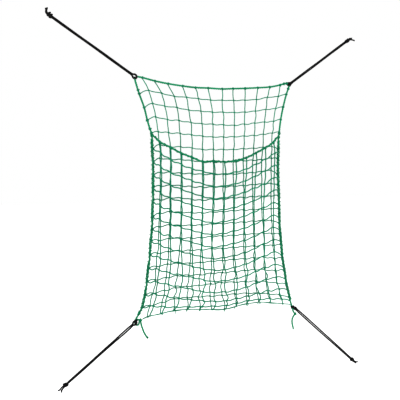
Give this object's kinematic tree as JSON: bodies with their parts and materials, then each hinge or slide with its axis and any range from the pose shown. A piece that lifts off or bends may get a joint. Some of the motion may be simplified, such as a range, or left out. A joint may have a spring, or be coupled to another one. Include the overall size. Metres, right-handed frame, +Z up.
{
  "type": "pocket net",
  "caption": "Knotted netting panel edged with rope, folded up at the bottom into an open-topped storage pocket, hung from stretchy looped cords at its corners.",
  "frame": {"origin": "middle of the hung net, in the plane of its back panel", "axes": "+X to the right seen from the pocket side, +Y to the back of the net, +Z up along the net's height"},
  "size_m": [1.2182, 0.0506, 1.335],
  "materials": {
    "netting_twine": "twisted green polyethylene netting twine",
    "green_rope": "twisted green polyethylene rope",
    "black_elastic": "braided black elastic cord"
  },
  "bodies": {
    "net": {"back_netting": "netting_twine", "border_rope_top": "green_rope", "border_rope_left": "green_rope", "border_rope_right": "green_rope", "side_lacing_left": "green_rope", "side_lacing_right": "green_rope", "bottom_edge_twine": "netting_twine", "rim_tie_left": "green_rope", "rim_tie_right": "green_rope", "corner_knot_left": "green_rope", "corner_knot_right": "green_rope"},
    "pocket": {"pocket_netting": "netting_twine", "pocket_rim_rope": "green_rope"},
    "hitch_tl": {"cord_tl_hitch": "black_elastic"},
    "cord_tl": {"cord_tl_strand_a": "black_elastic", "cord_tl_strand_b": "black_elastic"},
    "end_tl": {"cord_tl_end_knot": "black_elastic", "cord_tl_tail_a": "black_elastic", "cord_tl_tail_b": "black_elastic"},
    "hitch_tr": {"cord_tr_hitch": "black_elastic"},
    "cord_tr": {"cord_tr_strand_a": "black_elastic", "cord_tr_strand_b": "black_elastic"},
    "end_tr": {"cord_tr_end_knot": "black_elastic", "cord_tr_tail_a": "black_elastic", "cord_tr_tail_b": "black_elastic"},
    "hitch_bl": {"cord_bl_hitch": "black_elastic"},
    "cord_bl": {"cord_bl_strand_a": "black_elastic", "cord_bl_strand_b": "black_elastic"},
    "end_bl": {"cord_bl_end_knot": "black_elastic", "cord_bl_tail_a": "black_elastic", "cord_bl_tail_b": "black_elastic"},
    "hitch_br": {"cord_br_hitch": "black_elastic"},
    "cord_br": {"cord_br_strand_a": "black_elastic", "cord_br_strand_b": "black_elastic"},
    "end_br": {"cord_br_end_knot": "black_elastic", "cord_br_tail_a": "black_elastic", "cord_br_tail_b": "black_elastic"},
    "tail_left": {"rope_tail_left": "green_rope"},
    "tail_right": {"rope_tail_right": "green_rope"}
  },
  "joints": [
    {"name": "pocket_open", "type": "hinge", "parent": "net", "child": "pocket", "pos_m": [0, -0.004, -0.406], "axis": [1, 0, 0], "range_deg": [0, 12], "stiffness_Nm_per_rad": 2},
    {"name": "swing_tl", "type": "hinge", "parent": "net", "child": "hitch_tl", "pos_m": [-0.303, 0, 0.431], "axis": [0, 1, 0], "range_deg": [-75, 75]},
    {"name": "tilt_tl", "type": "hinge", "parent": "hitch_tl", "child": "cord_tl", "pos_m": [-0.303, 0, 0.431], "axis": [-0.5481, 0, -0.8364], "range_deg": [-75, 75]},
    {"name": "stretch_tl", "type": "slide", "parent": "cord_tl", "child": "end_tl", "axis": [-0.8364, 0, 0.5481], "range_m": [0, 0.1], "stiffness_N_per_m": 60},
    {"name": "swing_tr", "type": "hinge", "parent": "net", "child": "hitch_tr", "pos_m": [0.2935, 0, 0.431], "axis": [0, 1, 0], "range_deg": [-75, 75]},
    {"name": "tilt_tr", "type": "hinge", "parent": "hitch_tr", "child": "cord_tr", "pos_m": [0.2935, 0, 0.431], "axis": [-0.5814, 0, 0.8136], "range_deg": [-75, 75]},
    {"name": "stretch_tr", "type": "slide", "parent": "cord_tr", "child": "end_tr", "axis": [0.8136, 0, 0.5814], "range_m": [0, 0.1], "stiffness_N_per_m": 60},
    {"name": "swing_bl", "type": "hinge", "parent": "net", "child": "hitch_bl", "pos_m": [-0.31, 0, -0.4345], "axis": [0, 1, 0], "range_deg": [-35, 75]},
    {"name": "tilt_bl", "type": "hinge", "parent": "hitch_bl", "child": "cord_bl", "pos_m": [-0.31, 0, -0.4345], "axis": [0.6227, 0, -0.7824], "range_deg": [-75, 75]},
    {"name": "stretch_bl", "type": "slide", "parent": "cord_bl", "child": "end_bl", "axis": [-0.7824, 0, -0.6227], "range_m": [0, 0.1], "stiffness_N_per_m": 60},
    {"name": "swing_br", "type": "hinge", "parent": "net", "child": "hitch_br", "pos_m": [0.328, 0, -0.4365], "axis": [0, 1, 0], "range_deg": [-75, 15]},
    {"name": "tilt_br", "type": "hinge", "parent": "hitch_br", "child": "cord_br", "pos_m": [0.328, 0, -0.4365], "axis": [0.6673, 0, 0.7448], "range_deg": [-75, 75]},
    {"name": "stretch_br", "type": "slide", "parent": "cord_br", "child": "end_br", "axis": [0.7448, 0, -0.6673], "range_m": [0, 0.1], "stiffness_N_per_m": 60},
    {"name": "tail_left_sway", "type": "hinge", "parent": "net", "child": "tail_left", "pos_m": [-0.29, -0.0025, -0.4245], "axis": [1, 0, 0], "range_deg": [-60, 60]},
    {"name": "tail_right_sway", "type": "hinge", "parent": "net", "child": "tail_right", "pos_m": [0.3265, -0.0025, -0.4575], "axis": [1, 0, 0], "range_deg": [-60, 60]}
  ]
}
